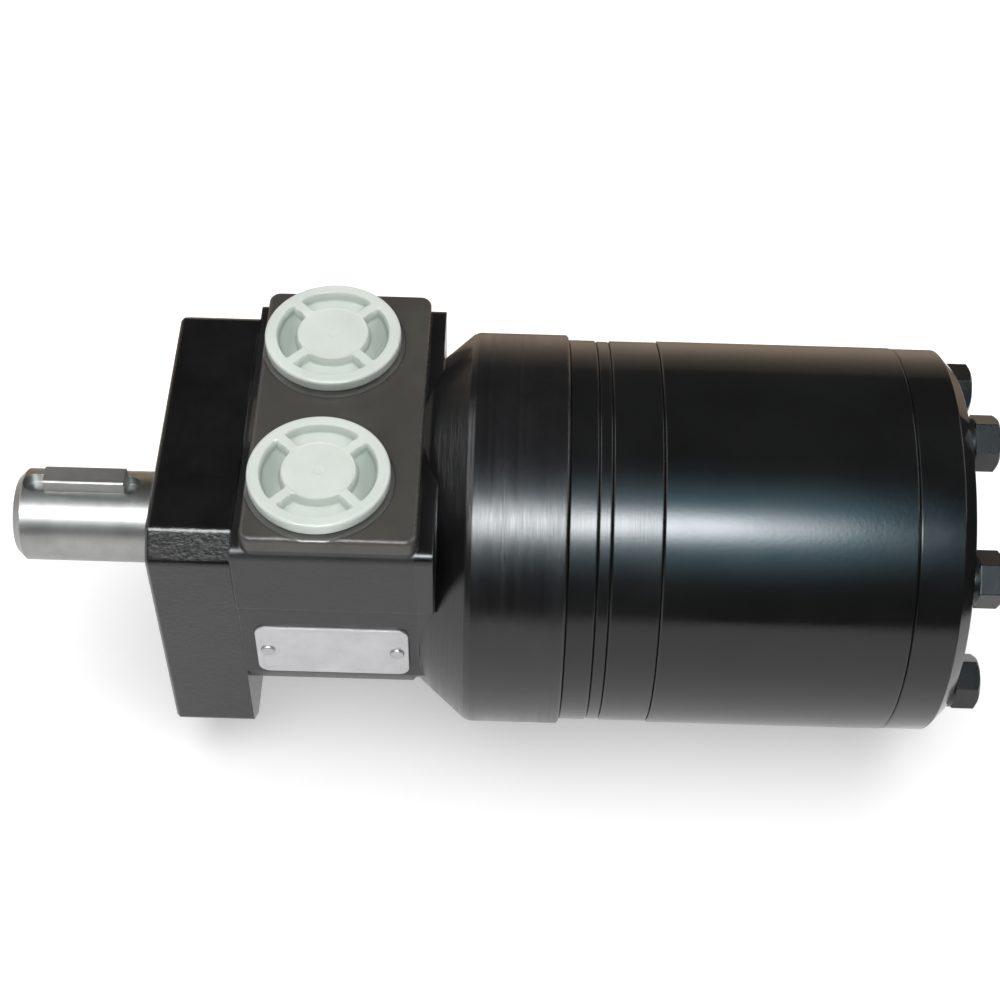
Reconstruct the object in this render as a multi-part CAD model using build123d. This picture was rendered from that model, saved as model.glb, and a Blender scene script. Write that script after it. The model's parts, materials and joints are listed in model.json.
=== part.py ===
from build123d import *
import os
from math import sin, cos, pi, sqrt, degrees, atan2

# Square-flange orbital hydraulic motor with its port plugs fitted.
# Millimetres. The shaft axis is X: the shaft points to -X and the body runs to +X.
# The origin is the centre of the flange's mounting face. The ports face +Z.

# output shaft and key
shaft_radius = 12.7
shaft_reach = 44.4
shaft_chamfer = 2.2
journal_radius = 15.0
key_size = 6.35
key_start = -36.0
key_end = -14.0
key_angle = -6.0
key_seat_depth = 3.2
key_seat_start = -39.0
key_seat_end = -13.2
end_thread_radius = 2.55
end_thread_depth = 16.0

# mounting flange
flange_side = 85.0
flange_corner = 55.5
flange_thickness = 21.5
pilot_radius = 22.2
pilot_length = 2.8
mount_circle_radius = 41.3
mount_hole_radius = 4.25
mount_hole_depth = 15.0
mount_lead_in = 0.4
flange_screw_circle = 33.0
flange_screw_depth = 38.0

# housing
body_radius = 43.0
block_half_width = 42.5
block_side_step = 0.7
block_side_step_height = 18.5
block_bottom = -12.0
block_top = 42.0
block_end = 72.0
pad_start = 24.0
pad_end = 68.0
pad_top = 47.0
cone_start = 68.0
cone_end = 80.5
barrel_radius = 53.6
housing_end = 105.5
spool_radius = 22.46
spool_bore_radius = 22.5

# ports
port_x = 42.7
port_y = 23.5
port_thread_radius = 10.2
port_floor = 25.0
port_thread_top = 41.0
port_mouth_radius = 12.0
spot_face_radius = 19.0
spot_face_level = pad_top - 0.4
feed_spacing = 7.5
annulus_width = 4.5
annulus_radius = 24.3

# plates, gerotor set and cover
plate_radius = 52.3
spacer_end = 113.0
wear_plate_end = 116.5
distributor_end = 129.5
ring_radius = 52.6
ring_end = 193.5
cover_radius = 52.4
cover_end = 208.5
cover_chamfer = 3.5
passage_radius = 2.8
passage_circle = 28.3
roll_count = 7
roll_circle = 28.5
roll_radius = 5.25
eccentricity = 2.85
star_clearance = 0.1
pocket_clearance = 0.05
ring_bore_radius = 29.6
drive_hole_radius = 15.0
seal_inner_radius = 34.5
seal_outer_radius = 36.2
seal_depth = 1.2

# name plate
name_plate_thickness = 0.6
name_plate_rivet_x = (28.2, 62.2)

# cover bolts
bolt_circle = 41.5
bolt_radius = 4.0
bolt_hole_radius = 4.5
thread_hole_radius = 4.05
bolt_head_width = 13.0
bolt_head_height = 6.6
washer_radius = 7.0
washer_hole_radius = 4.65
washer_thickness = 1.6
bolt_end = 88.0

# splined drive
spline_teeth = 12
inner_spline_tip = 11.6
inner_spline_root = 13.6
link_spline_root = 11.0
link_spline_tip = 13.15
inner_slot_width = 3.6
link_tooth_width = 2.9
link_head_length = 13.0
link_shank_radius = 8.5
front_head_x = 66.0
rear_head_x = 163.0
spool_end = 78.0


def facing_x(x):
    """The plane across the shaft axis at x: its own x axis points up, its normal along +X."""
    return Plane(origin=(x, 0, 0), x_dir=(0, 0, 1), z_dir=(1, 0, 0))


def rod(x0, x1, radius, up=0.0, side=0.0):
    """A cylinder along X, its axis up and side away from the shaft axis."""
    return Pos(x0, side, up) * Rot(0, 90, 0) * Cylinder(
        radius, x1 - x0, align=(Align.CENTER, Align.CENTER, Align.MIN)
    )


def tube(x0, x1, outer, inner):
    return rod(x0, x1, outer) - rod(x0 - 1, x1 + 1, inner)


def upright(z0, z1, radius, x, y):
    """A cylinder along Z."""
    return Pos(x, y, z0) * Cylinder(radius, z1 - z0, align=(Align.CENTER, Align.CENTER, Align.MIN))


def across(x, y0, y1, radius):
    """A cylinder along Y at the shaft's height, from y0 down to y1."""
    return Pos(x, y0, 0) * Rot(90, 0, 0) * Cylinder(
        radius, y0 - y1, align=(Align.CENTER, Align.CENTER, Align.MIN)
    )


def block(x0, x1, y0, y1, z0, z1):
    return Pos((x0 + x1) / 2, (y0 + y1) / 2, (z0 + z1) / 2) * Box(x1 - x0, y1 - y0, z1 - z0)


def turned(points):
    """A solid of revolution about X from (x, radius) points."""
    outline = [Vector(x, 0, radius) for x, radius in points]
    face = make_face(Polyline(*outline, close=True))
    return revolve(face, Axis.X, 360)


def at_angle(shape, degrees_round):
    """Turn a shape about the shaft axis, by the right-hand rule from +Z."""
    return Rot(degrees_round, 0, 0) * shape


def ring_of(shape, count, first=0.0):
    return [at_angle(shape, first + i * 360 / count) for i in range(count)]


def cut_all(solid, tools):
    for tool in tools:
        solid = solid - tool
    return solid


def as_one(shape):
    """The solids of a shape, as one compound ready to export."""
    solids = shape.solids()
    return solids[0] if len(solids) == 1 else Compound(children=list(solids))


def group(shapes):
    return Compound(children=[s for shape in shapes for s in shape.solids()])


def splines(x0, x1, core, tip, width, outward):
    """Straight-sided teeth round the shaft axis, between the core and tip radii."""
    depth = tip - core + 1.5
    start = core - 1.5 if outward else core - 0.5
    tooth = block(x0, x1, -width / 2, width / 2, start, start + depth + (0 if outward else -1.0))
    return ring_of(tooth, spline_teeth)


# output shaft and key


def make_key():
    low = shaft_radius - key_seat_depth
    key = block(key_start, key_end, -key_size / 2, key_size / 2, low, low + key_size)
    key = chamfer(key.edges().filter_by(Axis.X), 0.4)
    return at_angle(key, key_angle)


def make_keyway():
    low = shaft_radius - key_seat_depth
    half = key_size / 2 + 0.01
    slot = block(key_seat_start, key_seat_end, -half, half, low, shaft_radius + 2)
    for x in (key_seat_start, key_seat_end):
        slot = slot + upright(low, shaft_radius + 2, half, x, 0)
    return at_angle(slot, key_angle)


def make_output_shaft():
    shaft = turned([
        (-shaft_reach, 0),
        (-shaft_reach, shaft_radius - shaft_chamfer),
        (-shaft_reach + shaft_chamfer, shaft_radius),
        (-4.6, shaft_radius),
        (-3.4, journal_radius - 0.6),
        (-2.8, journal_radius),
        (20.1, journal_radius),
        (20.1, spool_radius - 0.8),
        (20.9, spool_radius),
        (spool_end - 1.0, spool_radius),
        (spool_end, spool_radius - 1.0),
        (spool_end, 0),
    ])
    shaft = shaft - make_keyway()
    # threaded hole in the end, with its centre drilling
    shaft = shaft - rod(-shaft_reach - 1, -shaft_reach + end_thread_depth, end_thread_radius)
    shaft = shaft - turned([
        (-shaft_reach - 1, 0),
        (-shaft_reach - 1, end_thread_radius + 2.2),
        (-shaft_reach + 1.2, end_thread_radius),
        (-shaft_reach + 1.2, 0),
    ])
    # drive socket with its internal splines
    shaft = shaft - rod(57.0, spool_end + 1, inner_spline_tip)
    shaft = shaft - rod(74.0, spool_end + 1, inner_spline_root + 0.6)
    shaft = shaft - rod(57.0, 58.5, inner_spline_root + 0.2)
    slots = splines(58.0, 74.5, inner_spline_tip, inner_spline_root, inner_slot_width, False)
    shaft = cut_all(shaft, slots)
    # feed grooves and the two sets of timing slots
    for side in (-1, 1):
        middle = port_x + side * feed_spacing
        groove = tube(middle - annulus_width / 2, middle + annulus_width / 2, 30, spool_radius - 2.2)
        shaft = shaft - groove
        inner_end = port_x - side * 2.8
        low, high = min(middle, inner_end), max(middle, inner_end)
        slot = block(low, high, -2.5, 2.5, spool_radius - 2.8, spool_radius + 2)
        first = 0 if side < 0 else 30
        shaft = cut_all(shaft, ring_of(slot, 6, first))
    # relief groove behind the timing slots
    shaft = shaft - tube(62.0, 64.0, 30, spool_radius - 0.6)
    return shaft


# flange and what it holds


def flange_outline():
    square = Rectangle(flange_side, flange_side)
    diamond = Rot(0, 0, 45) * Rectangle(flange_corner * 2, flange_corner * 2)
    outline = square & diamond
    return fillet(outline.vertices(), 2.5)


def make_flange():
    flange = extrude(facing_x(0) * flange_outline(), flange_thickness)
    flange = chamfer(flange.faces().sort_by(Axis.X)[0].edges(), 0.8)
    flange = flange + rod(-pilot_length, 1.0, pilot_radius)
    rim = flange.faces().sort_by(Axis.X)[0].edges()
    flange = chamfer(rim, 0.5)
    # bores for the dust seal, the shaft seal and the thrust bearing
    flange = flange - rod(-pilot_length - 1, flange_thickness + 1, journal_radius + 0.6)
    flange = flange - rod(-pilot_length - 1, 1.6, 18.65)
    flange = flange - rod(7.0, 15.0, 21.05)
    flange = flange - rod(15.0, flange_thickness + 1, 25.0)
    # groove for the body O-ring
    flange = flange - tube(flange_thickness - 1.5, flange_thickness + 1, 28.1, 25.8)
    # threaded mounting holes on the diagonals
    mount_hole = rod(-1, mount_hole_depth, mount_hole_radius, up=mount_circle_radius)
    lead_in = turned([
        (-1, 0), (-1, mount_hole_radius + 1.4), (mount_lead_in, mount_hole_radius), (mount_lead_in, 0)
    ])
    lead_in = Pos(0, 0, mount_circle_radius) * lead_in
    flange = cut_all(flange, ring_of(mount_hole, 4, 45) + ring_of(lead_in, 4, 45))
    # counterbored holes for the screws into the housing
    head_hole = rod(-1, 9.0, 6.75, up=flange_screw_circle)
    shank_hole = rod(8, flange_thickness + 1, 4.4, up=flange_screw_circle)
    flange = cut_all(flange, ring_of(head_hole, 4) + ring_of(shank_hole, 4))
    return flange


def make_flange_screws():
    head = rod(1.0, 9.0, 6.5, up=flange_screw_circle)
    head = chamfer(head.edges().filter_by(GeomType.CIRCLE).sort_by(Axis.X)[0], 0.6)
    shank = rod(9.0, flange_screw_depth - 1.5, bolt_radius, up=flange_screw_circle)
    hexagon = facing_x(0.0) * Pos(flange_screw_circle, 0, 0) * RegularPolygon(3.0, 6, major_radius=False)
    socket = extrude(hexagon, 5.0)
    return group(ring_of(head + shank - socket, 4))


def make_dust_seal():
    seal = tube(-2.4, 1.5, 18.6, journal_radius + 0.05)
    return seal - (rod(-3.0, -1.2, 17.6) - rod(-3.2, 1, 16.0))


def make_shaft_seal():
    seal = tube(7.3, 13.4, 21.0, journal_radius + 0.05)
    hollow = rod(9.2, 14.0, 19.4) - rod(9.0, 14.2, 16.6)
    return seal - hollow


def make_backup_washer():
    return tube(13.45, 14.95, 21.0, journal_radius + 0.4)


def make_bearing_race():
    race = tube(15.0, 17.5, 24.9, journal_radius + 0.4)
    return chamfer(race.edges().filter_by(GeomType.CIRCLE).sort_by(Axis.X)[-2:], 0.2)


def make_needle_cage():
    cage = tube(17.95, 19.65, 22.2, journal_radius + 0.5)
    pocket = block(17, 21, -1.3, 1.3, 16.5, 21.6)
    return cut_all(cage, ring_of(pocket, 16))


def make_needles():
    needle = Pos(18.8, 0, 16.6) * Cylinder(1.22, 4.9, align=(Align.CENTER, Align.CENTER, Align.MIN))
    return group(ring_of(needle, 16))


def make_o_ring(middle_radius, section, x):
    ring = Torus(middle_radius, section / 2)
    return Pos(x, 0, 0) * Rot(0, 90, 0) * ring


# housing


def housing_body():
    barrel = turned([
        (flange_thickness, 0),
        (flange_thickness, body_radius),
        (cone_start - 2.4, body_radius),
        (cone_start - 1.6, body_radius - 0.9),
        (cone_start - 0.4, body_radius - 0.9),
        (cone_start, body_radius - 0.2),
        (cone_end - 0.7, barrel_radius - 0.6),
        (cone_end + 0.9, barrel_radius),
        (housing_end - 0.5, barrel_radius),
        (housing_end, barrel_radius - 0.5),
        (housing_end, 0),
    ])
    # the round body is planed flat where it stands out past the block's sides
    for side in (-1, 1):
        outer = side * (body_radius + 5)
        y0, y1 = sorted((side * block_half_width, outer))
        barrel = barrel - block(flange_thickness - 1, cone_start - 2.4, y0, y1, block_bottom, 30)
    low = block(flange_thickness, block_end, -block_half_width, block_half_width, block_bottom, 30)
    wide = block_half_width + block_side_step
    high = block(flange_thickness, block_end, -wide, wide, block_side_step_height, block_top)
    high = fillet(high.edges().filter_by(Axis.X).sort_by(Axis.Z)[-2:], 3.0)
    low = fillet(low.edges().filter_by(Axis.X).sort_by(Axis.Z)[:2], 1.0)
    pad = block(pad_start, pad_end, -block_half_width, block_half_width, 30, pad_top)
    pad = fillet(pad.edges().filter_by(Axis.Z), 3.0)
    pad = fillet(pad.faces().sort_by(Axis.Z)[-1].edges(), 1.2)
    return barrel + low + high + pad


def make_housing():
    housing = housing_body()
    # spool bore, drive cavity and feed annuli
    housing = housing - rod(flange_thickness - 1, 80.0, spool_bore_radius)
    housing = housing - rod(79.0, housing_end + 1, 18.0)
    for side in (-1, 1):
        middle = port_x + side * feed_spacing
        housing = housing - rod(middle - annulus_width / 2, middle + annulus_width / 2, annulus_radius)
    # the two ports, each with a drilling to its own annulus
    for side in (-1, 1):
        y = side * port_y
        housing = housing - upright(spot_face_level, pad_top + 1, spot_face_radius, port_x, y)
        housing = housing - upright(port_floor, pad_top + 1, port_thread_radius, port_x, y)
        housing = housing - upright(port_thread_top, pad_top + 1, port_mouth_radius, port_x, y)
        start = Vector(port_x + side * 3.7, side * 20.0, 27.0)
        finish = Vector(port_x + side * feed_spacing, side * 12.0, 20.0)
        way = Plane(origin=start, z_dir=finish - start)
        drilling = way * Cylinder(
            2.4, (finish - start).length, align=(Align.CENTER, Align.CENTER, Align.MIN)
        )
        housing = housing - drilling
    # seven timed passages from the spool to the gerotor pockets
    passage = rod(port_x - 2.4, housing_end + 1, passage_radius, up=passage_circle)
    window = upright(20.0, passage_circle, 2.4, port_x, 0)
    housing = cut_all(housing, ring_of(passage, roll_count) + ring_of(window, roll_count))
    # threaded holes for the cover bolts and the flange screws
    bolt_hole = rod(bolt_end - 2, housing_end + 1, thread_hole_radius, up=bolt_circle)
    housing = cut_all(housing, ring_of(bolt_hole, roll_count))
    screw_hole = rod(flange_thickness - 1, flange_screw_depth, thread_hole_radius, up=flange_screw_circle)
    housing = cut_all(housing, ring_of(screw_hole, 4))
    # holes for the name plate's rivets
    for x in name_plate_rivet_x:
        housing = housing - across(x, -block_half_width + 1.5, -block_half_width - 5, 1.25)
    return housing - seal_groove(housing_end, -1)


# plates, gerotor ring and cover


def seal_groove(face_x, direction):
    """A cutter for a square seal groove in a face, cut in the given direction along X."""
    x0, x1 = sorted((face_x - direction * 0.5, face_x + direction * seal_depth))
    return tube(x0, x1, seal_outer_radius, seal_inner_radius)


def seal_ring(face_x, direction):
    """A square seal lying in its groove, just clear of the groove's walls."""
    x0, x1 = sorted((face_x, face_x + direction * (seal_depth - 0.05)))
    return tube(x0, x1, seal_outer_radius - 0.05, seal_inner_radius + 0.05)


def disc(x0, x1, radius, edge=0.4):
    return turned([
        (x0, 0), (x0, radius - edge), (x0 + edge, radius),
        (x1 - edge, radius), (x1, radius - edge), (x1, 0),
    ])


def bolt_holes(x0, x1):
    return ring_of(rod(x0 - 1, x1 + 1, bolt_hole_radius, up=bolt_circle), roll_count)


def make_plate(x0, x1, radius, centre_hole):
    plate = disc(x0, x1, radius) - rod(x0 - 1, x1 + 1, centre_hole)
    plate = cut_all(plate, bolt_holes(x0, x1))
    passage = rod(x0 - 1, x1 + 1, passage_radius, up=passage_circle)
    return cut_all(plate, ring_of(passage, roll_count))


def make_gerotor_ring():
    ring = disc(distributor_end, ring_end, ring_radius)
    ring = ring - rod(distributor_end - 1, ring_end + 1, ring_bore_radius)
    pocket = rod(
        distributor_end - 1, ring_end + 1, roll_radius + pocket_clearance, up=roll_circle
    )
    ring = cut_all(ring, ring_of(pocket, roll_count, 180 / roll_count))
    ring = cut_all(ring, bolt_holes(distributor_end, ring_end))
    return ring - seal_groove(distributor_end, 1)


def make_roll(number):
    roll = rod(distributor_end + 0.05, ring_end - 0.05, roll_radius, up=roll_circle)
    roll = chamfer(roll.edges().filter_by(GeomType.CIRCLE), 0.3)
    return at_angle(roll, (number - 0.5) * 360 / roll_count)


def star_point(t):
    """A point of the rotor's outline: the roll centre's path, moved in by a roll's radius."""
    px = roll_circle * cos(t) - eccentricity * cos(roll_count * t)
    py = roll_circle * sin(t) - eccentricity * sin(roll_count * t)
    nx = roll_circle * cos(t) - roll_count * eccentricity * cos(roll_count * t)
    ny = roll_circle * sin(t) - roll_count * eccentricity * sin(roll_count * t)
    size = sqrt(nx * nx + ny * ny)
    inset = roll_radius + star_clearance
    return Vector(px - inset * nx / size, py - inset * ny / size)


def make_rotor_star():
    count = 30 * (roll_count - 1)
    points = [star_point(2 * pi * i / count) for i in range(count)]
    outline = Rot(0, 0, 180 / (roll_count - 1)) * make_face(Spline(*points, periodic=True))
    start, end = distributor_end + 0.05, ring_end - 0.05
    star = extrude(facing_x(start) * outline, end - start)
    star = star - rod(start - 1, end + 1, inner_spline_tip)
    slots = splines(start - 1, end + 1, inner_spline_tip, inner_spline_root, inner_slot_width, False)
    star = cut_all(star, slots)
    return Pos(0, 0, eccentricity) * star


def make_drive_link():
    half = link_head_length / 2
    length = sqrt((rear_head_x - front_head_x) ** 2 + eccentricity ** 2)
    link = turned([
        (-half, 0), (-half, link_spline_root - 1.0), (-half + 1.0, link_spline_root),
        (half - 1.0, link_spline_root), (half + 2.5, link_shank_radius),
        (length - half - 2.5, link_shank_radius), (length - half + 1.0, link_spline_root),
        (length + half - 1.0, link_spline_root), (length + half, link_spline_root - 1.0),
        (length + half, 0),
    ])
    for middle in (0, length):
        teeth = splines(middle - half + 0.8, middle + half - 0.8, link_spline_root,
                        link_spline_tip, link_tooth_width, True)
        trim = rod(middle - half, middle + half, link_spline_tip)
        for tooth in teeth:
            link = link + (tooth & trim)
    tilt = degrees(atan2(eccentricity, rear_head_x - front_head_x))
    return Pos(front_head_x, 0, 0) * Rot(0, -tilt, 0) * link


def make_drive_spacer():
    spacer = disc(171.0, ring_end - 0.3, link_spline_root - 0.2, 0.8)
    spacer = spacer - rod(170, ring_end, 3.0)
    return Pos(0, 0, eccentricity) * spacer


def make_end_cover():
    cover = turned([
        (ring_end, 0), (ring_end, cover_radius - 0.4), (ring_end + 0.4, cover_radius),
        (cover_end - cover_chamfer, cover_radius), (cover_end, cover_radius - cover_chamfer),
        (cover_end, 0),
    ])
    cover = cover - turned([
        (cover_end + 1, 0), (cover_end + 1, 31.0), (cover_end, 30.0),
        (cover_end - 1.2, 29.0), (cover_end - 1.2, 0),
    ])
    cover = cut_all(cover, bolt_holes(ring_end, cover_end))
    return cover - seal_groove(ring_end, 1)


def make_cover_bolts():
    head_start = cover_end + washer_thickness
    head_end = head_start + bolt_head_height
    # the usual turned corner of a hexagon head
    crown = Pos(0, 0, bolt_circle) * turned([
        (head_start, 0), (head_start, 8.5), (head_end - 1.5, 8.5), (head_end, 6.2), (head_end, 0)
    ])
    shank = rod(bolt_end, head_start + 1, bolt_radius, up=bolt_circle)
    hexagon = RegularPolygon(bolt_head_width / 2, 6, major_radius=False)
    bolts = []
    for index in range(roll_count):
        # each bolt stopped at its own angle when it was tightened
        flats = Pos(bolt_circle, 0, 0) * Rot(0, 0, 17 * index * index % 60) * hexagon
        head = extrude(facing_x(head_start) * flats, bolt_head_height) & crown
        bolts.append(at_angle(head + shank, index * 360 / roll_count))
    return group(bolts)


def make_cover_washers():
    washer = rod(cover_end, cover_end + washer_thickness, washer_radius, up=bolt_circle)
    hole = rod(cover_end - 1, cover_end + 3, washer_hole_radius, up=bolt_circle)
    return group(ring_of(washer - hole, roll_count))


# port plugs and name plate


def make_port_plug(side):
    top = 51.5
    under = 47.9
    x, y = port_x, side * port_y
    plug = upright(under, top, 18.0, x, y)
    plug = fillet(plug.edges().filter_by(GeomType.CIRCLE), 0.9)
    plug = plug + upright(spot_face_level + 0.05, under + 1, 14.0, x, y)
    plug = plug + upright(port_thread_top + 0.3, under + 1, port_mouth_radius - 0.08, x, y)
    # moulded pocket ring in the face, broken by four ribs
    pocket = upright(top - 2.6, top + 1, 14.6, x, y) - upright(top - 3, top + 2, 9.6, x, y)
    for turn in (45, 135):
        rib = Pos(x, y, top) * Rot(0, 0, turn) * Box(40, 3.0, 10)
        pocket = pocket - rib
    plug = plug - pocket
    # hollow stem, open below
    plug = plug - upright(port_thread_top - 1, top - 3.8, 10.8, x, y)
    return plug


def make_name_plate():
    face = Plane(origin=(45.2, -block_half_width, 0), x_dir=(1, 0, 0), z_dir=(0, -1, 0))
    outline = face * fillet(Rectangle(40.0, 20.0).vertices(), 3.0)
    plate = extrude(outline, name_plate_thickness)
    for x in name_plate_rivet_x:
        plate = plate - across(x, -block_half_width + 1, -block_half_width - 3, 1.25)
    return plate


def make_name_plate_rivets():
    rivets = []
    face_y = -block_half_width - name_plate_thickness
    for x in name_plate_rivet_x:
        dome = across(x, face_y, face_y - 0.7, 1.9)
        dome = fillet(dome.edges().filter_by(GeomType.CIRCLE).sort_by(Axis.Y)[0], 0.5)
        rivets.append(dome + across(x, face_y + 1.9, face_y - 0.1, 1.2))
    return group(rivets)


def make_seal_rings():
    return group([
        seal_ring(housing_end, -1),
        seal_ring(spacer_end, -1),
        seal_ring(wear_plate_end, 1),
        seal_ring(distributor_end, 1),
        seal_ring(ring_end, 1),
    ])


spacer_plate = make_plate(housing_end, spacer_end, plate_radius, drive_hole_radius)
distributor_plate = make_plate(wear_plate_end, distributor_end, plate_radius, drive_hole_radius)

nodes = {
    "housing": make_housing(),
    "mounting_flange": make_flange(),
    "flange_screws": make_flange_screws(),
    "dust_seal": make_dust_seal(),
    "shaft_seal": make_shaft_seal(),
    "seal_backup_washer": make_backup_washer(),
    "flange_o_ring": make_o_ring(26.95, 1.48, flange_thickness - 0.75),
    "thrust_bearing_race": make_bearing_race(),
    "thrust_needle_cage": make_needle_cage(),
    "thrust_needles": make_needles(),
    "output_shaft": make_output_shaft(),
    "shaft_key": make_key(),
    "spacer_plate": spacer_plate - seal_groove(spacer_end, -1),
    "wear_plate": make_plate(spacer_end, wear_plate_end, plate_radius - 0.2, drive_hole_radius),
    "distributor_plate": distributor_plate - seal_groove(wear_plate_end, 1),
    "gerotor_ring": make_gerotor_ring(),
    "rotor_star": make_rotor_star(),
    "drive_link": make_drive_link(),
    "drive_spacer": make_drive_spacer(),
    "end_cover": make_end_cover(),
    "cover_bolts": make_cover_bolts(),
    "cover_washers": make_cover_washers(),
    "body_seal_rings": make_seal_rings(),
    "port_plug_a": make_port_plug(1),
    "port_plug_b": make_port_plug(-1),
    "name_plate": make_name_plate(),
    "name_plate_rivets": make_name_plate_rivets(),
}
for number in range(1, roll_count + 1):
    nodes[f"roll_{number}"] = make_roll(number)

os.makedirs("parts", exist_ok=True)
for name, shape in nodes.items():
    export_step(as_one(shape), f"parts/{name}.step")
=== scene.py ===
import bpy
import bmesh
import json
import math
from mathutils import Matrix, Vector


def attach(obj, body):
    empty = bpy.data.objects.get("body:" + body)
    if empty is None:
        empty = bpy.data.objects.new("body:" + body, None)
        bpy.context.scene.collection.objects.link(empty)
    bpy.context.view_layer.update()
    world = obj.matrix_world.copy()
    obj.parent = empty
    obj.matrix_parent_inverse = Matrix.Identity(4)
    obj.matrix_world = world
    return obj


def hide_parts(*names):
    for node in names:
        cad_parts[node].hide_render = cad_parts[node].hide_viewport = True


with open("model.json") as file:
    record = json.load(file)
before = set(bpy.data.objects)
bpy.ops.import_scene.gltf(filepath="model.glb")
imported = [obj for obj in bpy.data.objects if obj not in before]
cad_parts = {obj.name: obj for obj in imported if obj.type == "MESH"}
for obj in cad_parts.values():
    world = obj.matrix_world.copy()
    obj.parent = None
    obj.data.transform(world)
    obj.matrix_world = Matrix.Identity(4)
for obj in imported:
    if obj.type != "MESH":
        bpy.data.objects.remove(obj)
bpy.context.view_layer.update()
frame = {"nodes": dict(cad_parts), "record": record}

nodes = frame["nodes"]
scene = bpy.context.scene

MM = 0.001

# places on the CAD part that pieces and materials follow, in millimetres
flange_back = 21.5
block_side, block_top = -42.5, 42.0
cone_start = 68.0
port_x, port_y, port_radius = 42.7, 23.5, 10.2
spot_face_level, spot_face_radius = 46.6, 19.0
plug_top, plug_under, plug_radius = 51.5, 47.9, 18.0
pocket_inner, pocket_outer, pocket_depth = 9.6, 14.6, 2.5
plate_left, plate_right, plate_half_height, plate_thickness = 25.2, 65.2, 10.0, 0.6
plate_pins = (28.2, 62.2)


# ---------------------------------------------------------------- materials

class Shader:
    """A small wrapper that adds and links shader nodes."""

    def __init__(self, name):
        self.material = bpy.data.materials.new(name)
        self.material.use_nodes = True
        self.tree = self.material.node_tree
        self.bsdf = self.tree.nodes["Principled BSDF"]
        self.coords = self.add("ShaderNodeTexCoord").outputs["Object"]
        self.xyz = self.add("ShaderNodeSeparateXYZ", Vector=self.coords)

    def add(self, kind, **inputs):
        node = self.tree.nodes.new(kind)
        for key, value in inputs.items():
            self.put(node, key, value)
        return node

    def put(self, node, key, value):
        socket = node.inputs[key] if isinstance(key, int) else node.inputs[key.replace("_", " ")]
        if isinstance(value, bpy.types.NodeSocket):
            self.tree.links.new(value, socket)
        elif hasattr(value, "outputs"):
            self.tree.links.new(value.outputs[0], socket)
        else:
            socket.default_value = value

    def math(self, operation, *values, clamp=False):
        node = self.add("ShaderNodeMath")
        node.operation = operation
        node.use_clamp = clamp
        for i, value in enumerate(values):
            self.put(node, i, value)
        return node.outputs[0]

    def stretched(self, x, y, z):
        """Object coordinates in metres, scaled along each axis."""
        return self.add("ShaderNodeMapping", Vector=self.coords, Scale=(x, y, z)).outputs[0]

    def noise(self, vector, scale=1.0, detail=3.0, roughness=0.55):
        return self.add(
            "ShaderNodeTexNoise", Vector=vector, Scale=scale, Detail=detail, Roughness=roughness
        ).outputs["Fac"]

    def remap(self, value, low, high, to_low, to_high, smooth=False):
        node = self.add("ShaderNodeMapRange", Value=value)
        node.interpolation_type = "SMOOTHSTEP" if smooth else "LINEAR"
        node.inputs[1].default_value = low
        node.inputs[2].default_value = high
        node.inputs[3].default_value = to_low
        node.inputs[4].default_value = to_high
        return node.outputs[0]

    def mix(self, factor, a, b):
        node = self.add("ShaderNodeMix")
        node.data_type = "RGBA"
        for key, value in ((0, factor), (6, a), (7, b)):
            if isinstance(value, bpy.types.NodeSocket):
                self.tree.links.new(value, node.inputs[key])
            elif key and len(value) == 3:
                node.inputs[key].default_value = (*value, 1.0)
            else:
                node.inputs[key].default_value = value
        return node.outputs[2]

    def past(self, value, low, high, smooth=False):
        """0 before low and 1 past high, both in millimetres; low may be the larger."""
        return self.remap(value, low * MM, high * MM, 0.0, 1.0, smooth)

    def length(self, a, b):
        squares = (self.math("MULTIPLY", c, c) for c in (a, b))
        return self.math("SQRT", self.math("ADD", *squares))

    def from_port(self):
        """Offset along X from the ports, and distance from the nearer port's axis, in metres."""
        x, y, _ = self.xyz.outputs
        along = self.math("SUBTRACT", x, port_x * MM)
        across = self.math("SUBTRACT", self.math("ABSOLUTE", y), port_y * MM)
        return along, self.length(across, along)

    def rounded(self, size):
        """A normal that rounds sharp edges by a small radius, in metres."""
        node = self.add("ShaderNodeBevel", Radius=size)
        node.samples = 6
        return node.outputs[0]

    def edges(self, size):
        """1 on worn edges, 0 on open surfaces."""
        dot = self.add("ShaderNodeVectorMath")
        dot.operation = "DOT_PRODUCT"
        self.put(dot, 0, self.rounded(size))
        self.put(dot, 1, self.add("ShaderNodeNewGeometry").outputs["True Normal"])
        away = self.math("SUBTRACT", 1.0, dot.outputs["Value"], clamp=True)
        return self.remap(away, 0.02, 0.25, 0.0, 1.0)

    def bump(self, height, strength, distance, normal=None):
        node = self.add("ShaderNodeBump", Strength=strength, Distance=distance, Height=height)
        if normal is not None:
            self.put(node, "Normal", normal)
        return node.outputs[0]

    def finish(self, color=None, rough=None, normal=None, **fixed):
        if color is not None:
            color = (*color, 1) if isinstance(color, tuple) else color
            self.put(self.bsdf, "Base Color", color)
        if rough is not None:
            self.put(self.bsdf, "Roughness", rough)
        if normal is not None:
            self.put(self.bsdf, "Normal", normal)
        for key, value in fixed.items():
            self.put(self.bsdf, key, value)
        return self.material


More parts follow.
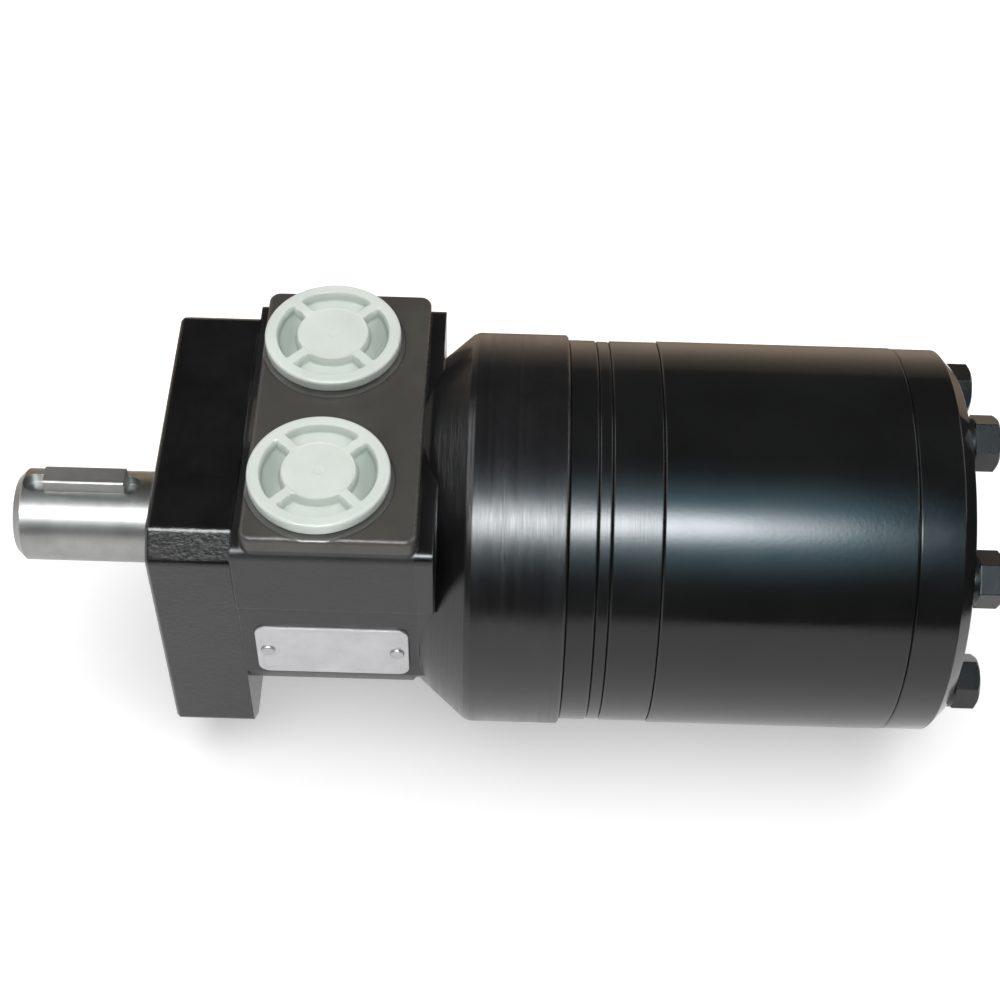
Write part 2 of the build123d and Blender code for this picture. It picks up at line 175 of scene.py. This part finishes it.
def gloss_paint(name, rough=0.10, turning=0.0, dirt=0.5, tone=(0.0060, 0.0062, 0.0064)):
    """Gloss black enamel over turned steel: faint turning lines, orange peel, worn edges."""
    s = Shader(name)
    blotch = s.noise(s.coords, 28.0, 4.0)
    fine = s.noise(s.coords, 900.0, 3.0)
    lines = s.noise(s.stretched(2600.0, 14.0, 14.0), 1.0, 4.0, 0.7)
    worn = s.math("MULTIPLY", s.edges(0.0007), s.remap(blotch, 0.45, 0.72, 0.0, 1.0))
    base = s.mix(s.remap(blotch, 0.3, 0.75, 0.0, 1.0), tone, tuple(1.7 * c for c in tone))
    color = s.mix(worn, base, (0.06, 0.057, 0.054))
    shine = s.remap(s.noise(s.coords, 60.0, 5.0), 0.3, 0.7, rough - 0.02, rough + 0.05 * (1 + dirt))
    shine = s.math("ADD", shine, s.math("MULTIPLY", worn, 0.2))
    normal = s.bump(fine, 0.05, 0.0002, s.rounded(0.0005))
    if turning:
        normal = s.bump(lines, turning, 0.0004, normal)
    return s.finish(color, shine, normal, Specular_IOR_Level=0.4)


def cast_paint(name, tone=(0.006, 0.006, 0.0065), rough=0.36):
    """Satin black paint over a cast and part-machined housing."""
    s = Shader(name)
    x, _, z = s.xyz.outputs
    pits = s.noise(s.coords, 900.0, 6.0, 0.65)
    lumps = s.noise(s.coords, 240.0, 3.0)
    blotch = s.noise(s.coords, 45.0, 5.0, 0.6)
    worn = s.math("MULTIPLY", s.edges(0.0009), s.remap(blotch, 0.42, 0.7, 0.0, 1.0))
    base = s.mix(s.remap(blotch, 0.35, 0.7, 0.0, 1.0), tone, tuple(2.2 * c for c in tone))
    # the port pad was faced after painting and carries a dull, dusty film
    pad = s.past(z, block_top + 0.1, block_top + 0.6, True)
    pad = s.math("MULTIPLY", pad, s.past(x, cone_start + 2.0, cone_start + 1.0))
    pad = s.math("MULTIPLY", pad, s.past(x, flange_back + 1.0, flange_back + 1.5))
    dust = s.math("MULTIPLY", pad, s.remap(blotch, 0.3, 0.65, 0.6, 1.0))
    base = s.mix(dust, base, (0.060, 0.056, 0.048))
    color = s.mix(worn, base, (0.075, 0.072, 0.068))
    # bare metal spot faces round the ports
    _, reach = s.from_port()
    bare = s.past(reach, spot_face_radius + 0.1, spot_face_radius)
    bare = s.math("MULTIPLY", bare, s.past(z, spot_face_level - 0.3, spot_face_level - 0.1))
    bare = s.math("MULTIPLY", bare, s.past(z, spot_face_level + 0.1, spot_face_level + 0.05))
    rings = s.noise(s.add("ShaderNodeCombineXYZ", X=s.math("MULTIPLY", reach, 3000.0)), 1.0, 3.0)
    steel = s.mix(rings, (0.34, 0.33, 0.31), (0.22, 0.21, 0.2))
    color = s.mix(bare, color, steel)
    # the rear barrel was turned after casting, so it has rings round it instead of cast grain
    turned = s.past(x, cone_start - 1.5, cone_start + 0.5, True)
    lines = s.noise(s.stretched(1500.0, 9.0, 9.0), 1.0, 5.0, 0.75)
    cast = s.math("SUBTRACT", 1.0, turned)
    height = s.math("ADD", s.math("MULTIPLY", pits, 0.9), s.math("MULTIPLY", lumps, 0.6))
    height = s.math("ADD", s.math("MULTIPLY", height, cast), s.math("MULTIPLY", lines, turned))
    normal = s.bump(height, 0.38, 0.00025, s.rounded(0.0008))
    shine = s.remap(pits, 0.3, 0.7, rough - 0.05, rough + 0.06)
    streak = s.remap(s.noise(s.stretched(420.0, 6.0, 6.0), 1.0, 3.0), 0.35, 0.65, -0.05, 0.06)
    barrel = s.math("ADD", streak, 0.215)
    mixed = s.math("ADD", s.math("MULTIPLY", shine, cast), s.math("MULTIPLY", barrel, turned))
    metallic = s.math("MULTIPLY", bare, 0.8)
    return s.finish(color, mixed, normal, Metallic=metallic, Specular_IOR_Level=0.5)


def metal(name, color, rough, lines=(2600.0, 30.0, 30.0), strength=0.12):
    """Bare steel with machining lines, light staining and brighter worn edges."""
    s = Shader(name)
    grind = s.noise(s.stretched(*lines), 1.0, 4.0, 0.7)
    blotch = s.noise(s.coords, 110.0, 5.0, 0.6)
    dark = tuple(0.775 * c for c in color)
    tint = s.mix(s.remap(blotch, 0.35, 0.7, 0.0, 1.0), color, dark)
    tint = s.mix(s.edges(0.0005), tint, tuple(min(1.0, c * 1.25) for c in color))
    shine = s.remap(grind, 0.3, 0.7, rough - 0.05, rough + 0.09)
    normal = s.bump(grind, strength, 0.0003, s.rounded(0.0003))
    return s.finish(tint, shine, normal, Metallic=1.0)


def rubber(name):
    s = Shader(name)
    grain = s.noise(s.coords, 1500.0, 3.0)
    tone = s.mix(s.noise(s.coords, 90.0, 3.0), (0.012, 0.012, 0.012), (0.03, 0.03, 0.03))
    return s.finish(tone, s.remap(grain, 0.3, 0.7, 0.5, 0.68), s.bump(grain, 0.15, 0.0002))


def milky_plastic(name):
    """Translucent polyethylene with handling marks, and painted shade in its moulded pockets."""
    s = Shader(name)
    cloud = s.noise(s.coords, 90.0, 4.0)
    scuff = s.noise(s.stretched(900.0, 250.0, 900.0), 1.0, 4.0, 0.7)
    tone = s.mix(s.remap(cloud, 0.3, 0.7, 0.0, 1.0), (0.68, 0.725, 0.68), (0.60, 0.655, 0.605))
    # painted shade: the pocket floors are darkened, most where deepest and in the two pockets along
    # X, which lie deeper in shade
    deep = s.past(s.xyz.outputs[2], plug_top - 0.3, plug_top - pocket_depth, True)
    along, reach = s.from_port()
    inside = s.past(reach, pocket_outer + 0.4, pocket_outer)
    sideways = s.remap(s.math("ABSOLUTE", along), 5.0 * MM, 11.5 * MM, 0.25, 1.0)
    shade = s.math("MULTIPLY", s.math("MULTIPLY", deep, inside), sideways)
    # the painted shade colour of the pocket floors
    tone = s.mix(shade, tone, (0.31, 0.36, 0.325))
    shine = s.remap(scuff, 0.35, 0.7, 0.3, 0.48)
    normal = s.bump(scuff, 0.08, 0.0002, s.rounded(0.0004))
    return s.finish(
        tone, shine, normal, Subsurface_Weight=0.35, Subsurface_Scale=0.003,
        Subsurface_Radius=(1.0, 1.0, 0.9),
    )


def foil(name):
    """Blank satin name plate."""
    s = Shader(name)
    brushed = s.noise(s.stretched(60.0, 60.0, 2600.0), 1.0, 4.0, 0.7)
    cloud = s.noise(s.coords, 120.0, 5.0, 0.65)
    tone = s.mix(s.remap(cloud, 0.3, 0.7, 0.0, 1.0), (0.57, 0.56, 0.57), (0.49, 0.48, 0.49))
    normal = s.bump(cloud, 0.25, 0.0006, s.bump(brushed, 0.1, 0.0002, s.rounded(0.0003)))
    return s.finish(tone, s.remap(brushed, 0.3, 0.7, 0.4, 0.55), normal, Metallic=0.6)


gloss = gloss_paint("gloss_black_paint")
plates = gloss_paint("plate_black_paint", rough=0.14, turning=0.10)
cast = cast_paint("cast_black_paint")
flange_paint = cast_paint("flange_black_paint", (0.005, 0.005, 0.0052), 0.17)
shaft_steel = metal("ground_shaft_steel", (0.335, 0.335, 0.327), 0.35, (5200.0, 60.0, 60.0), 0.06)
key_steel = metal("drawn_key_steel", (0.36, 0.355, 0.345), 0.5, (60.0, 2200.0, 2200.0))
bearing_steel = metal("bearing_steel", (0.68, 0.68, 0.69), 0.16, strength=0.05)
drive_steel = metal("drive_steel", (0.42, 0.41, 0.41), 0.3)
rivet_steel = metal("rivet_steel", (0.42, 0.42, 0.43), 0.32)
fastener = gloss_paint("black_fasteners", rough=0.22, dirt=1.2, tone=(0.007, 0.007, 0.007))
black_rubber = rubber("nitrile_rubber")
plastic = milky_plastic("milky_plug_plastic")
foil_plate = foil("blank_plate_foil")
thread_steel = metal("cut_thread_steel", (0.34, 0.33, 0.32), 0.3)

finish_of = {
    "painted_body": cast,
    "painted_plates": plates,
    "ground_steel": shaft_steel,
    "key_steel": key_steel,
    "black_fasteners": fastener,
    "black_rubber": black_rubber,
    "bearing_steel": bearing_steel,
    "cage_steel": drive_steel,
    "drive_steel": drive_steel,
    "plug_plastic": plastic,
    "plate_aluminium": foil_plate,
    "rivet_steel": rivet_steel,
}


def dress(obj, material):
    if not obj.data.materials:
        obj.data.materials.append(material)
    for slot in obj.material_slots:
        slot.material = material


for part in frame["record"]["subparts"]:
    dress(nodes[part["node"]], finish_of[part["material_slot"]])
dress(nodes["gerotor_ring"], gloss)
dress(nodes["end_cover"], gloss)
dress(nodes["mounting_flange"], flange_paint)


# ---------------------------------------------------------------- pieces that replace CAD nodes

def add_piece(name, bm, material, replaced, body, smooth_angle=40.0):
    bmesh.ops.recalc_face_normals(bm, faces=bm.faces)
    mesh = bpy.data.meshes.new(name)
    bm.to_mesh(mesh)
    bm.free()
    obj = bpy.data.objects.new(name, mesh)
    scene.collection.objects.link(obj)
    mesh.materials.append(material)
    mesh.shade_smooth()
    mesh.set_sharp_from_angle(angle=math.radians(smooth_angle))
    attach(obj, body)
    if replaced:
        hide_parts(replaced)


def step(value, start, end):
    """0 before start, 1 after end, smooth between."""
    t = min(1.0, max(0.0, (value - start) / (end - start)))
    return t * t * (3 - 2 * t)


def lathe(bm, profile, height, segments, centre_xy):
    """Rings of points about a vertical axis; height(r, z, angle) may move each one along Z."""
    cx, cy = centre_xy
    rings = []
    for r, z in profile:
        if r == 0:
            rings.append([bm.verts.new(in_metres(cx, cy, height(0, z, 0)))])
            continue
        ring = []
        for i in range(segments):
            a = 2 * math.pi * i / segments
            x, y = cx + r * math.cos(a), cy + r * math.sin(a)
            ring.append(bm.verts.new(in_metres(x, y, height(r, z, a))))
        rings.append(ring)
    for low, high in zip(rings, rings[1:]):
        for i in range(segments):
            j = (i + 1) % segments
            if len(low) == 1:
                bm.faces.new((low[0], high[i], high[j]))
            elif len(high) == 1:
                bm.faces.new((low[i], high[0], low[j]))
            else:
                bm.faces.new((low[i], high[i], high[j], low[j]))


def in_metres(x, y, z):
    return (MM * x, MM * y, MM * z)


plug_edge = 0.9
middle_sink = 0.3
gate_radius, gate_depth = 1.1, 0.25
rib_half_width = 1.6
seat_radius, seat_level = 14.0, 46.65
stem_radius, stem_end, lip_radius = 11.6, 41.3, 11.92
stem_lips = (45.6, 44.4, 43.2)
hollow_radius, hollow_top = 10.8, 47.7


def plug_face(r, z, angle):
    """The plug's moulded face: a raised rim, a flat middle and four soft pockets between ribs."""
    if z < plug_top - 0.01:
        return z
    band = step(r, pocket_inner - 0.35, pocket_inner + 0.45)
    band *= step(r, pocket_outer + 0.35, pocket_outer - 0.45)
    turn = (angle - math.pi / 4) % (math.pi / 2)
    off = abs(r * math.sin(min(turn, math.pi / 2 - turn)))
    wall = step(off, rib_half_width - 0.35, rib_half_width + 0.35)
    middle = step(r, pocket_inner - 0.2, pocket_inner - 0.9)
    gate = step(r, gate_radius + 0.2, gate_radius - 0.2)
    return z - pocket_depth * band * wall - middle_sink * middle - gate_depth * gate


def quarter_round(r, z, start):
    """Points of a quarter circle of the plug's edge radius, clockwise from the start angle."""
    steps = 8
    for i in range(steps + 1):
        a = math.radians(start - 90 * i / steps)
        yield (r + plug_edge * math.cos(a), z + plug_edge * math.sin(a))


def make_plug(name, y, body):
    bm = bmesh.new()
    rim = plug_radius - plug_edge
    # the flat face has a ring every quarter of a millimetre, for plug_face to move
    profile = [(0.25 * i, plug_top) for i in range(69)]
    profile += quarter_round(rim, plug_top - plug_edge - 0.02, 90)
    profile += quarter_round(rim, plug_under + plug_edge, 0)
    profile += [(seat_radius, plug_under), (seat_radius, seat_level), (lip_radius, seat_level)]
    for z in stem_lips:
        profile += [(stem_radius + 0.15, z + 0.35), (lip_radius, z), (stem_radius, z - 0.15)]
    profile += [(stem_radius, stem_end + 0.6), (stem_radius - 0.4, stem_end)]
    profile += [(hollow_radius, stem_end), (hollow_radius, hollow_top - 0.5)]
    profile += [(hollow_radius - 0.5, hollow_top), (0, hollow_top)]
    lathe(bm, profile, plug_face, 240, (port_x, y))
    replaced = name.replace("moulded_", "port_")
    add_piece(name, bm, plastic, replaced, body, 50.0)


make_plug("moulded_plug_a", port_y, "plug_a")
make_plug("moulded_plug_b", -port_y, "plug_b")


def make_port_thread(name, y):
    """The crests of a port's thread, standing in from its drilled wall."""
    pitch, turns, low, crest = 1.8, 7, 27.2, 0.55
    buried = port_radius + 0.12
    segments = 64
    bm = bmesh.new()
    rows = []
    count = turns * segments
    for i in range(count + 1):
        a = 2 * math.pi * i / segments
        z = low + pitch * i / segments
        # the crest runs out into the wall at both ends
        tip = port_radius - crest * min(1.0, i / segments, (count - i) / segments)
        row = []
        for r, dz in ((buried, -0.62), (tip, -0.12), (tip, 0.12), (buried, 0.62)):
            at = in_metres(port_x + r * math.cos(a), y + r * math.sin(a), z + dz)
            row.append(bm.verts.new(at))
        rows.append(row)
    for low_row, high_row in zip(rows, rows[1:]):
        for k in range(4):
            n = (k + 1) % 4
            bm.faces.new((low_row[k], high_row[k], high_row[n], low_row[n]))
    for row in (rows[0], rows[-1]):
        bm.faces.new(row)
    add_piece(name, bm, thread_steel, None, "motor_body", 20.0)


make_port_thread("port_thread_a", port_y)
make_port_thread("port_thread_b", -port_y)


def make_name_plate():
    """Thin pressed plate, left blank: rounded corners, a raised border and a pad round each pin."""
    x0, x1, z0, z1 = plate_left, plate_right, -plate_half_height, plate_half_height
    corner, raised, worn_edge = 3.0, 0.25, 0.10
    columns, rows = 161, 81
    bm = bmesh.new()
    grids = []
    for front in (True, False):
        grid = []
        for i in range(columns):
            line = []
            for j in range(rows):
                x = x0 + (x1 - x0) * i / (columns - 1)
                z = z0 + (z1 - z0) * j / (rows - 1)
                # squeeze the grid's corners onto the rounded outline
                dx = max(x0 + corner - x, x - x1 + corner, 0)
                dz = max(z0 + corner - z, z - z1 + corner, 0)
                if dx > 0 and dz > 0:
                    reach, square = math.hypot(dx, dz), max(dx, dz)
                    x -= math.copysign(dx * (1 - square / reach), x - (x0 + x1) / 2)
                    z -= math.copysign(dz * (1 - square / reach), z)
                    inset = corner - square
                else:
                    inset = min(x - x0, x1 - x, z - z0, z1 - z)
                depth = 0.0
                if front:
                    depth = plate_thickness - raised * step(inset, 1.3, 1.7)
                    depth -= worn_edge * step(inset, 0.25, 0.0)
                    for pin_x in plate_pins:
                        depth += raised * step(math.hypot(x - pin_x, z), 3.1, 2.5)
                    depth = min(depth, plate_thickness)
                line.append(bm.verts.new(in_metres(x, block_side - depth, z)))
            grid.append(line)
        for i in range(columns - 1):
            for j in range(rows - 1):
                bm.faces.new((grid[i][j], grid[i + 1][j], grid[i + 1][j + 1], grid[i][j + 1]))
        grids.append(grid)
    rim = [(i, 0) for i in range(columns)] + [(columns - 1, j) for j in range(1, rows)]
    rim += [(i, rows - 1) for i in range(columns - 2, -1, -1)]
    rim += [(0, j) for j in range(rows - 2, 0, -1)]
    for (i, j), (k, n) in zip(rim, rim[1:] + rim[:1]):
        bm.faces.new((grids[0][i][j], grids[0][k][n], grids[1][k][n], grids[1][i][j]))
    add_piece(
        "pressed_name_plate", bm, foil_plate, "name_plate", "motor_body", 30.0
    )


make_name_plate()


# ---------------------------------------------------------------- studio

elevation = math.radians(52.22)
view_from = Vector((0.0, -math.cos(elevation), math.sin(elevation)))
picture_up = Vector((0.0, math.sin(elevation), math.cos(elevation)))
foot = Vector((0.08845, 0.0, 0.0))
camera_distance = 0.5258
sensor_width, focal_length = 36.0, 68.1624
yaw, pitch, roll = (math.radians(a) for a in (-0.040, 0.818, 1.658))

camera = bpy.data.objects.new("camera", bpy.data.cameras.new("camera"))
scene.collection.objects.link(camera)
forward = -view_from + Vector((math.tan(yaw), 0, 0)) + picture_up * math.tan(pitch)
forward.normalize()
level = (Vector((1, 0, 0)) - forward * forward.x).normalized()
above = level.cross(forward)
right = level * math.cos(roll) + above * math.sin(roll)
up = above * math.cos(roll) - level * math.sin(roll)
pose = Matrix((right, up, -forward)).transposed().to_4x4()
pose.translation = foot + view_from * camera_distance
camera.matrix_world = pose
camera.data.sensor_width = sensor_width
camera.data.lens = focal_length
camera.data.clip_start = 0.01
scene.camera = camera



def facing(place, target, side):
    """A pose at place whose Z points away from target and whose X keeps to one side."""
    z = (place - target).normalized()
    x = (side - z * side.dot(z)).normalized()
    pose = Matrix((x, z.cross(x), z)).transposed().to_4x4()
    pose.translation = place
    return pose


def plane(name, width, depth, matrix, material):
    mesh = bpy.data.meshes.new(name)
    bm = bmesh.new()
    bmesh.ops.create_grid(bm, x_segments=1, y_segments=1, size=0.5)
    bm.to_mesh(mesh)
    bm.free()
    obj = bpy.data.objects.new(name, mesh)
    scene.collection.objects.link(obj)
    obj.matrix_world = matrix @ Matrix.Diagonal((width, depth, 1, 1))
    mesh.materials.append(material)
    return obj


def pale_floor(name, color, glow):
    """Pale paper floor, lit a little from below so that the shadow on it stays light."""
    s = Shader(name)
    tone = s.mix(s.noise(s.coords, 3.0), tuple(0.97 * c for c in color), color)
    x, y, _ = s.xyz.outputs
    away = s.length(x, y)
    # far from the lamp the paper runs out to white, as a sweep would
    far = s.remap(away, 0.03, 0.12, 0.0, 1.0, True)
    far = s.math("MULTIPLY", far, s.add("ShaderNodeLightPath").outputs["Is Camera Ray"])
    return s.finish(
        tone, 0.9, Specular_IOR_Level=0.1, Emission_Color=(1, 1, 1, 1),
        Emission_Strength=s.math("ADD", far, glow),
    )


floor_height = -0.0550
plane(
    "floor", 12, 12, Matrix.Translation((0.1, 0, floor_height)),
    pale_floor("pale_floor", (0.80, 0.80, 0.80), 0.45),
)


def overhead_fill(place, target, side, size, power):
    """A wide lamp above the motor that no gloss mirrors."""
    data = bpy.data.lights.new("overhead_fill", "AREA")
    data.size = size
    data.energy = power
    light = bpy.data.objects.new("overhead_fill", data)
    scene.collection.objects.link(light)
    light.matrix_world = facing(place, target, side)
    light.visible_glossy = False
    light.visible_camera = False


along_motor, across_motor = Vector((1, 0, 0)), Vector((0, 1, 0))
motor_middle = Vector((0.11, 0.0, 0.0))
overhead_fill(Vector((0.11, -0.1, 1.6)), motor_middle, along_motor, 2.4, 46)


def toward(raise_degrees, distance, x):
    """A point seen from the motor's axis, raised from the camera towards the picture's top."""
    a = math.radians(raise_degrees)
    return Vector((x, 0, 0)) + (view_from * math.cos(a) + picture_up * math.sin(a)) * distance


def glow_material(name, spread, strength, color, fade, opaque=False):
    """Light that is strongest on a panel's middle line and fades to its right end.

    An open panel lets the light of the panels behind it through.
    """
    s = Shader(name)
    along, off, _ = s.xyz.outputs
    away = s.math("DIVIDE", off, spread)
    level = s.math("POWER", math.e, s.math("MULTIPLY", s.math("MULTIPLY", away, away), -1.0))
    level = s.math("MULTIPLY", level, s.remap(along, 0.5, 0.5 - fade, 0.0, 1.0, True))
    level = s.math("MULTIPLY", level, s.remap(along, -0.5, -0.4, 0.0, 1.0, True))
    level = s.math("MULTIPLY", level, strength)
    out = s.add("ShaderNodeEmission", Color=(*color, 1), Strength=level).outputs[0]
    if not opaque:
        both = s.add("ShaderNodeAddShader")
        s.put(both, 0, out)
        s.put(both, 1, s.add("ShaderNodeBsdfTransparent"))
        out = both.outputs[0]
    s.tree.links.new(out, s.tree.nodes["Material Output"].inputs["Surface"])
    return s.material


def hide_card(card):
    """Only glossy surfaces see the card."""
    card.visible_camera = False
    card.visible_diffuse = False
    card.visible_shadow = False
    card.visible_transmission = False


def glow_card(
    name, raise_degrees, distance, left, full_until, gone_by, height, spread, strength, color
):
    """A soft panel near the camera's direction; lengths in metres along the motor's axis."""
    width = gone_by - left
    x = (gone_by + left) / 2
    fade = (gone_by - full_until) / width
    material = glow_material(name, spread / height, strength, color, fade)
    place = toward(raise_degrees, distance, x)
    pose = facing(place, Vector((x, 0, 0)), along_motor)
    hide_card(plane(name, width, height, pose, material))


cool_white = (0.97, 0.985, 1.0)
glow_card(
    "strip_panel", raise_degrees=3.2, distance=0.95, left=-0.44, full_until=0.20, gone_by=0.385,
    height=0.80, spread=0.120, strength=25.5, color=cool_white,
)
glow_card(
    "window_panel", raise_degrees=3.4, distance=1.00, left=0.10, full_until=0.32, gone_by=0.47,
    height=1.60, spread=0.360, strength=4.4, color=(0.44, 0.82, 1.0),
)
glow_card(
    "barrel_panel", raise_degrees=3.4, distance=1.02, left=-0.06, full_until=0.09, gone_by=0.16,
    height=1.60, spread=0.300, strength=6.0, color=(1.0, 0.97, 0.97),
)


def standing_card(name, place, width, height, turn, material):
    """A card upright on its long edge; turn 0 faces it along Y."""
    upright = Matrix.Rotation(turn, 4, "Z") @ Matrix.Rotation(math.pi / 2, 4, "X")
    hide_card(plane(name, width, height, Matrix.Translation(place) @ upright, material))


# a dim warm wall behind the motor, which its top edge mirrors
warm_wall = glow_material("warm_wall", 0.43, 0.66, (1.0, 0.79, 0.60), 0.02, opaque=True)
standing_card("warm_wall", (0.12, 0.14, 0.015), 1.6, 0.14, 0, warm_wall)

# a low dark flag past the cover's end keeps the bright floor out of its bevel
dark_flag = glow_material("dark_flag", 2.0, 0.03, (1.0, 1.0, 1.0), 0.02, opaque=True)
standing_card("dark_flag", (0.36, 0.10, 0.0075), 0.7, 0.125, math.pi / 2, dark_flag)

# soft boxes off both ends, which only the end and rear views mirror
for name, x in (("shaft_end_box", -0.95), ("cover_end_box", 1.15)):
    pose = facing(Vector((x, 0.25, 0.85)), Vector((0.1, 0, 0)), across_motor)
    hide_card(plane(name, 1.5, 0.9, pose, glow_material(name, 0.22, 6.0, cool_white, 0.3)))


def make_world(color, strength):
    """A dim warm surround for the motor, seen as plain white by the camera."""
    world = bpy.data.worlds.new("studio")
    world.use_nodes = True
    tree = world.node_tree
    surround = tree.nodes["Background"]
    backdrop = tree.nodes.new("ShaderNodeBackground")
    for node, tone, level in ((surround, color, strength), (backdrop, (1, 1, 1), 1.0)):
        node.inputs["Color"].default_value = (*tone, 1)
        node.inputs["Strength"].default_value = level
    path = tree.nodes.new("ShaderNodeLightPath")
    choose = tree.nodes.new("ShaderNodeMixShader")
    tree.links.new(path.outputs["Is Camera Ray"], choose.inputs[0])
    tree.links.new(surround.outputs[0], choose.inputs[1])
    tree.links.new(backdrop.outputs[0], choose.inputs[2])
    tree.links.new(choose.outputs[0], tree.nodes["World Output"].inputs["Surface"])
    return world


scene.world = make_world((1.0, 0.97, 0.93), 0.035)
scene.view_settings.view_transform = "Standard"
